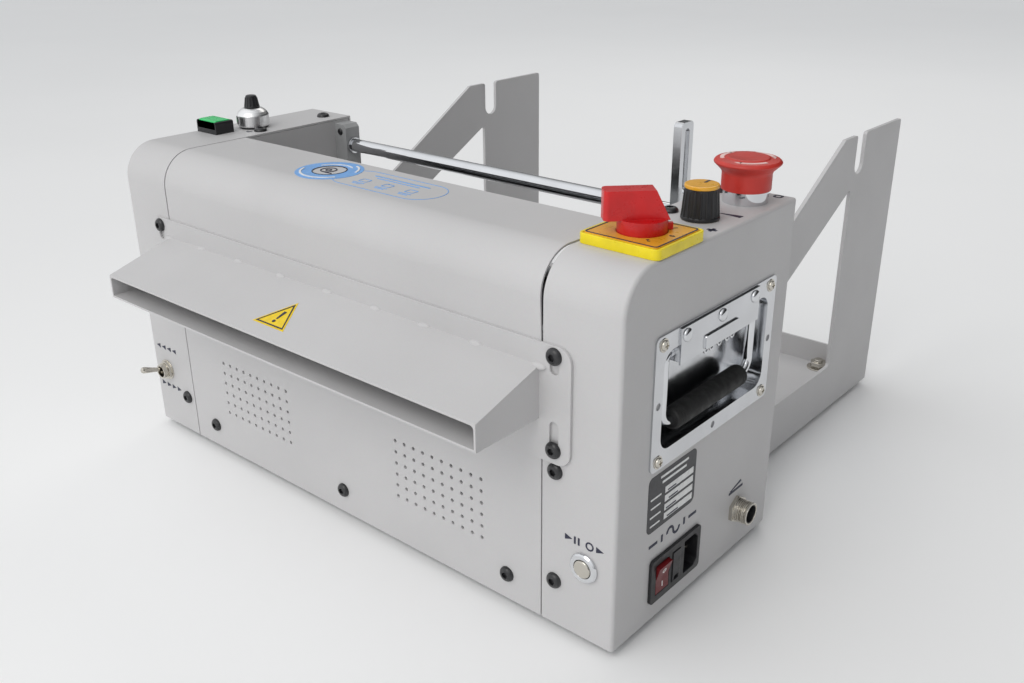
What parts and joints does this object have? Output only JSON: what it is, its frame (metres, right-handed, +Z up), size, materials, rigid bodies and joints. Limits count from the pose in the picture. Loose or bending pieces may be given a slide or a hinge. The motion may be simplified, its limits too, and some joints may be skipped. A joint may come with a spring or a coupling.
{
  "type": "paper cushion machine",
  "caption": "Desktop machine that draws flat paper from a rear roll holder over a guide bar, embosses it between two rollers and feeds cushioning paper out of a front chute.",
  "frame": {"origin": "middle of the whole footprint, at the level of the bench under the rubber feet", "axes": "+Z up, -Y out of the outlet chute towards the operator, +X towards the end with the mains inlet"},
  "size_m": [0.4882, 0.511, 0.2806],
  "materials": {
    "white_coat": "fine powder coat, satin",
    "zinc_sheet": "zinc-plated sheet, matt",
    "plate_steel": "ground plate",
    "roller_steel": "turned steel",
    "bearing_steel": "ground and polished",
    "chrome_bar": "bright chrome",
    "bright_metal": "nickel plate",
    "turned_aluminium": "satin anodised",
    "black_screw": "black oxide",
    "black_plastic": "fine moulded texture",
    "black_rubber": "matt rubber",
    "red_plastic": "gloss",
    "yellow_plastic": "gloss",
    "green_plastic": "gloss",
    "label_face": "printed plate",
    "lamp_red": "translucent, glossy",
    "grey_coat": "satin paint over casting",
    "brass_pin": "bare",
    "board_green": "solder-masked board",
    "motor_case": "semi-gloss enamel"
  },
  "bodies": {
    "machine": {"base_pan": "zinc_sheet", "left_cabinet": "white_coat", "right_cabinet": "white_coat", "left_bearing_plate": "white_coat", "right_bearing_plate": "white_coat", "hood": "white_coat", "front_panel": "white_coat", "rear_panel": "white_coat", "outlet_chute": "white_coat", "roll_tray": "white_coat", "left_roll_bracket": "white_coat", "right_roll_bracket": "white_coat", "rubber_feet": "black_rubber", "foot_bolts": "bright_metal", "button_screws": "black_screw", "guide_bar": "chrome_bar", "guide_blocks": "grey_coat", "clamp_screws": "black_screw", "roller_bearings": "bearing_steel", "gear_motor": "motor_case", "control_board": "board_green", "power_supply": "zinc_sheet", "stop_button_bezel": "bright_metal", "speed_potentiometer": "bright_metal", "dial_body": "turned_aluminium", "selector_base": "yellow_plastic", "selector_label": "label_face", "start_button_housing": "black_plastic", "toggle_switch": "bright_metal", "test_button_bezel": "bright_metal", "inlet_housing": "black_plastic", "socket_pins": "brass_pin", "pedal_socket": "bright_metal", "left_handle_dish": "bright_metal", "right_handle_dish": "bright_metal", "handle_hinge_covers": "bright_metal", "handle_fasteners": "bright_metal"},
    "lower_roller_body": {"lower_embossing_roller": "roller_steel", "lower_sync_gear": "plate_steel", "drive_gear": "plate_steel"},
    "upper_roller_body": {"upper_embossing_roller": "roller_steel", "upper_sync_gear": "plate_steel"},
    "motor_rotor": {"motor_shaft": "bearing_steel", "motor_pinion": "brass_pin"},
    "stop_stem_body": {"stop_button_stem": "black_plastic"},
    "stop_head_body": {"stop_button_head": "red_plastic"},
    "speed_knob_body": {"speed_knob": "black_plastic", "speed_knob_cap": "yellow_plastic"},
    "dial_knob_body": {"dial_knob": "black_plastic"},
    "selector_body": {"selector_handle": "red_plastic"},
    "start_cap_body": {"start_button_cap": "green_plastic"},
    "test_plunger_body": {"test_button_plunger": "bright_metal"},
    "toggle_body": {"toggle_lever": "chrome_bar"},
    "rocker_body": {"inlet_rocker": "lamp_red"},
    "fuse_drawer_body": {"fuse_drawer": "black_plastic"},
    "left_bail_body": {"left_handle_bail": "chrome_bar", "left_handle_grip": "black_rubber"},
    "right_bail_body": {"right_handle_bail": "chrome_bar", "right_handle_grip": "black_rubber"},
    "edge_guide_body": {"paper_edge_guide": "chrome_bar"}
  },
  "joints": [
    {"name": "lower_roller_spin", "type": "hinge", "parent": "machine", "child": "lower_roller_body", "pos_m": [-0.00385, -0.1505, 0.136], "axis": [1, 0, 0], "continuous": true},
    {"name": "upper_roller_spin", "type": "hinge", "parent": "machine", "child": "upper_roller_body", "pos_m": [-0.00385, -0.1505, 0.186], "axis": [1, 0, 0], "continuous": true},
    {"name": "motor_spin", "type": "hinge", "parent": "machine", "child": "motor_rotor", "pos_m": [-0.19985, -0.11354, 0.09195], "axis": [1, 0, 0], "continuous": true},
    {"name": "stop_button_press", "type": "slide", "parent": "machine", "child": "stop_stem_body", "axis": [0, 0, -1], "range_m": [0, 0.004]},
    {"name": "stop_button_twist", "type": "hinge", "parent": "stop_stem_body", "child": "stop_head_body", "pos_m": [0.20975, -0.0405, 0.241], "axis": [0, 0, 1], "range_deg": [0, 35]},
    {"name": "speed_knob_turn", "type": "hinge", "parent": "machine", "child": "speed_knob_body", "pos_m": [0.20815, -0.0909, 0.241], "axis": [0, 0, -1], "range_deg": [0, 300]},
    {"name": "dial_knob_turn", "type": "hinge", "parent": "machine", "child": "dial_knob_body", "pos_m": [-0.21385, -0.0955, 0.241], "axis": [0, 0, -1], "range_deg": [0, 3600]},
    {"name": "selector_turn", "type": "hinge", "parent": "machine", "child": "selector_body", "pos_m": [0.20575, -0.1481, 0.241], "axis": [0, 0, 1], "range_deg": [-90, 0]},
    {"name": "start_button_press", "type": "slide", "parent": "machine", "child": "start_cap_body", "axis": [0, 0, -1], "range_m": [0, 0.0025], "stiffness_N_per_m": 500, "springref_m": -0.001},
    {"name": "test_button_press", "type": "slide", "parent": "machine", "child": "test_plunger_body", "axis": [0, 1, 0], "range_m": [0, 0.002], "stiffness_N_per_m": 400, "springref_m": -0.001},
    {"name": "toggle_tilt", "type": "hinge", "parent": "machine", "child": "toggle_body", "pos_m": [-0.22185, -0.2005, 0.0552], "axis": [1, 0, 0], "range_deg": [0, 34]},
    {"name": "mains_rocker_tilt", "type": "hinge", "parent": "machine", "child": "rocker_body", "pos_m": [0.23115, -0.152, 0.0347], "axis": [0, 1, 0], "range_deg": [-14, 0]},
    {"name": "fuse_drawer_pull", "type": "slide", "parent": "machine", "child": "fuse_drawer_body", "axis": [1, 0, 0], "range_m": [0, 0.016]},
    {"name": "left_handle_swing", "type": "hinge", "parent": "machine", "child": "left_bail_body", "pos_m": [-0.23485, -0.1027, 0.18], "axis": [0, 1, 0], "range_deg": [0, 90]},
    {"name": "right_handle_swing", "type": "hinge", "parent": "machine", "child": "right_bail_body", "pos_m": [0.22715, -0.1027, 0.18], "axis": [0, -1, 0], "range_deg": [0, 90]},
    {"name": "edge_guide_slide", "type": "slide", "parent": "machine", "child": "edge_guide_body", "axis": [1, 0, 0], "range_m": [-0.3, 0.008]}
  ],
  "couplings": [
    {"joint": "upper_roller_spin", "follows": "lower_roller_spin", "ratio": -1},
    {"joint": "motor_spin", "follows": "lower_roller_spin", "ratio": -3.6}
  ]
}
